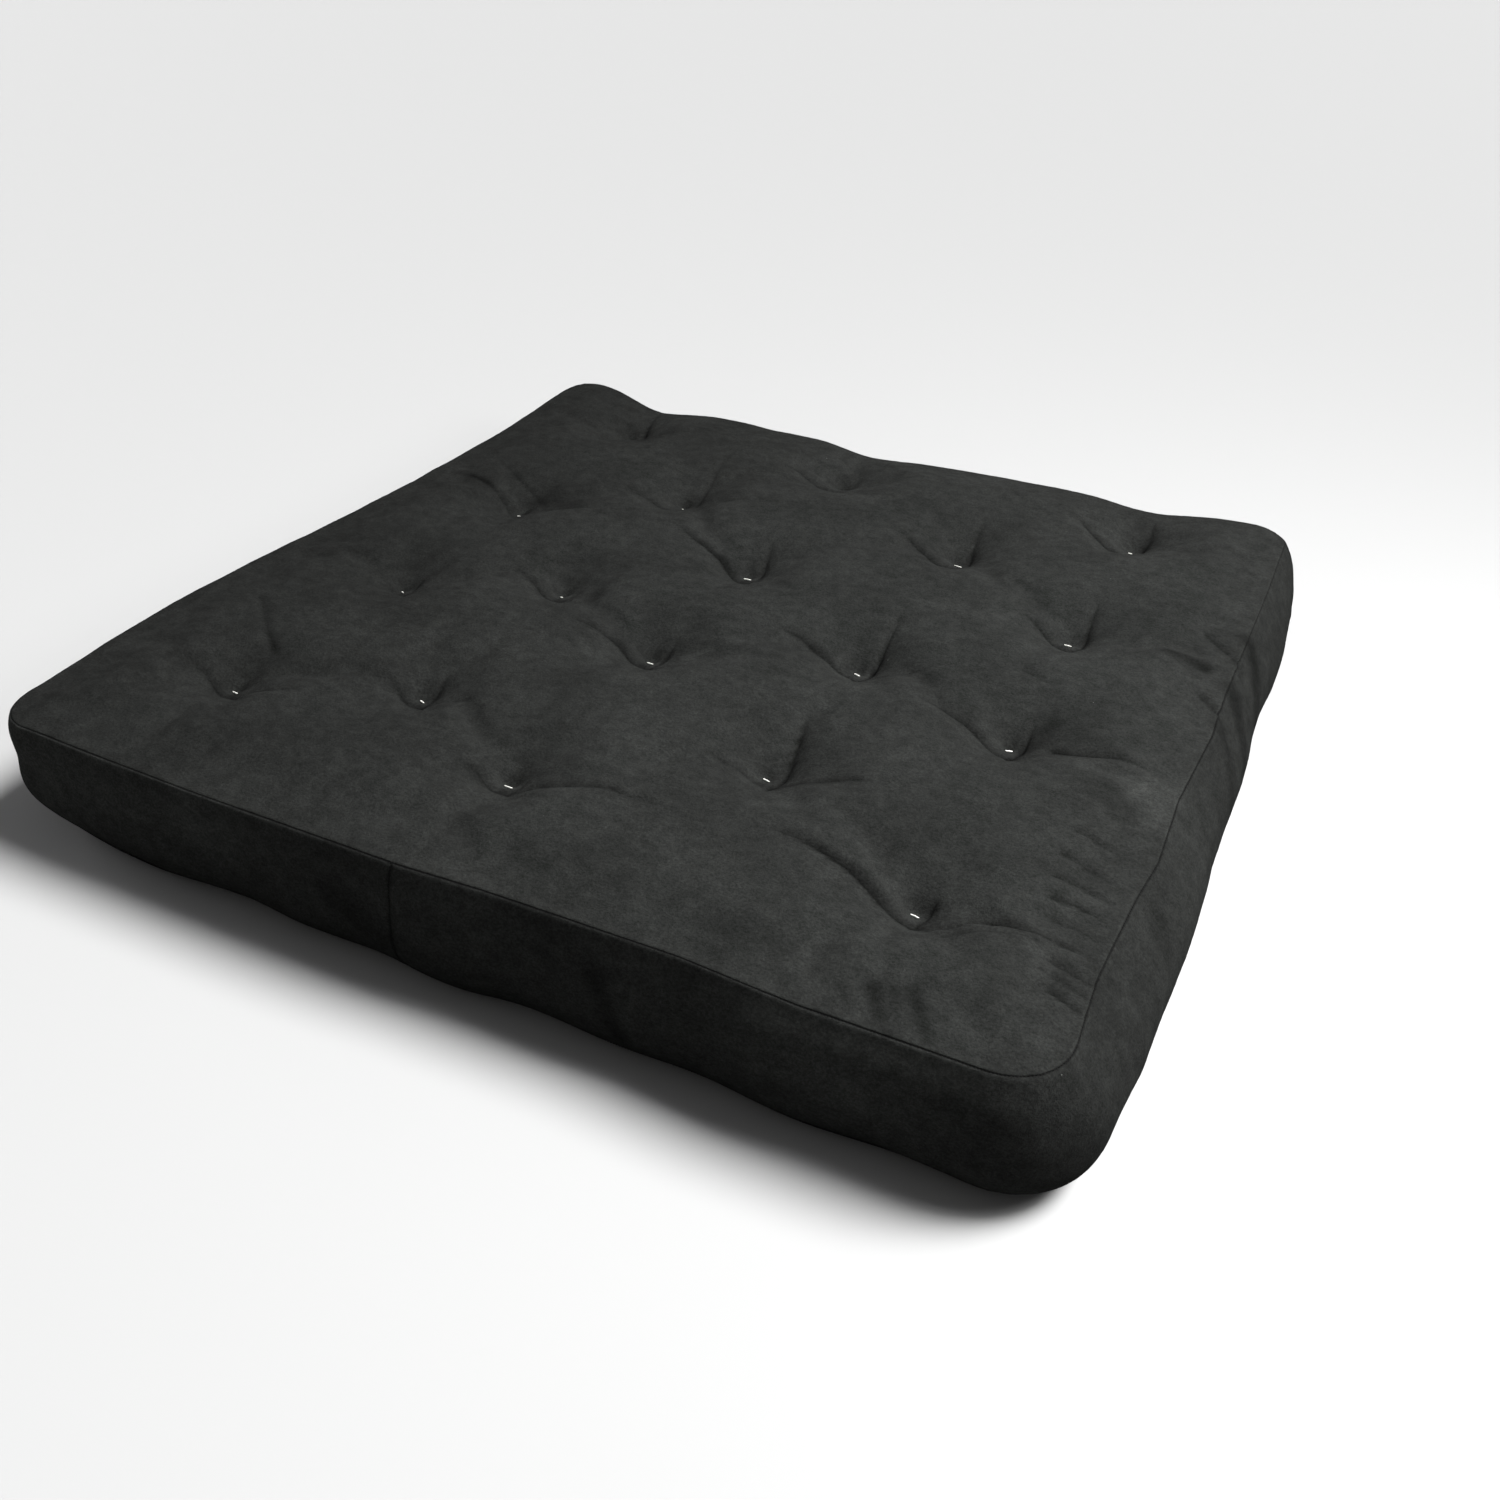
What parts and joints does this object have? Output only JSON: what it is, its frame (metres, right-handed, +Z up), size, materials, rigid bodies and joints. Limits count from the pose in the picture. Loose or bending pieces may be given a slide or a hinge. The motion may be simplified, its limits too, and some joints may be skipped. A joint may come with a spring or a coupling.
{
  "type": "futon mattress",
  "caption": "King-size tufted futon mattress in black microsuede with a boxed edge, plain seams and a fold for use as a sofa; a cotton and foam core held by twine tufts.",
  "frame": {"origin": "centre of the underside of the mattress lying flat, on the surface it rests on", "axes": "+X along the long side, +Y from the front (seat) side to the back side, +Z up"},
  "size_m": [2.032, 1.9304, 0.235],
  "materials": {
    "microsuede": "matt brushed black microsuede with a soft nap",
    "seam_thread": "black spun polyester sewing thread",
    "fire_barrier_knit": "off-white knitted fire barrier",
    "cotton_batting": "loose garnetted cotton batting",
    "polyurethane_foam": "open-cell polyurethane foam",
    "tufting_twine": "white waxed polyester twine",
    "label_cloth": "white woven label, left blank"
  },
  "bodies": {
    "seat_half": {"bottom_seam_stitching_seat": "seam_thread", "boxing_join_stitching_seat": "seam_thread", "boxing_left_seat": "microsuede", "boxing_right_seat": "microsuede", "cover_bottom_panel_seat": "microsuede", "cover_top_panel_seat": "microsuede", "fire_barrier_sock_seat": "fire_barrier_knit", "lower_batting_seat": "cotton_batting", "lower_foam_slab_seat": "polyurethane_foam", "middle_batting_seat": "cotton_batting", "top_seam_stitching_seat": "seam_thread", "tuft_knots_seat": "tufting_twine", "tuft_twine_seat": "tufting_twine", "upper_batting_seat": "cotton_batting", "upper_foam_slab_seat": "polyurethane_foam"},
    "back_half": {"bottom_seam_stitching_back": "seam_thread", "boxing_join_stitching_back": "seam_thread", "boxing_left_back": "microsuede", "boxing_right_back": "microsuede", "care_label": "label_cloth", "cover_bottom_panel_back": "microsuede", "cover_top_panel_back": "microsuede", "fire_barrier_sock_back": "fire_barrier_knit", "lower_batting_back": "cotton_batting", "lower_foam_slab_back": "polyurethane_foam", "middle_batting_back": "cotton_batting", "top_seam_stitching_back": "seam_thread", "tuft_knots_back": "tufting_twine", "tuft_twine_back": "tufting_twine", "upper_batting_back": "cotton_batting", "upper_foam_slab_back": "polyurethane_foam"}
  },
  "joints": [
    {"name": "sofa_fold", "type": "hinge", "parent": "seat_half", "child": "back_half", "pos_m": [0, 0.02, 0.235], "axis": [1, 0, 0], "range_deg": [0, 75]}
  ]
}
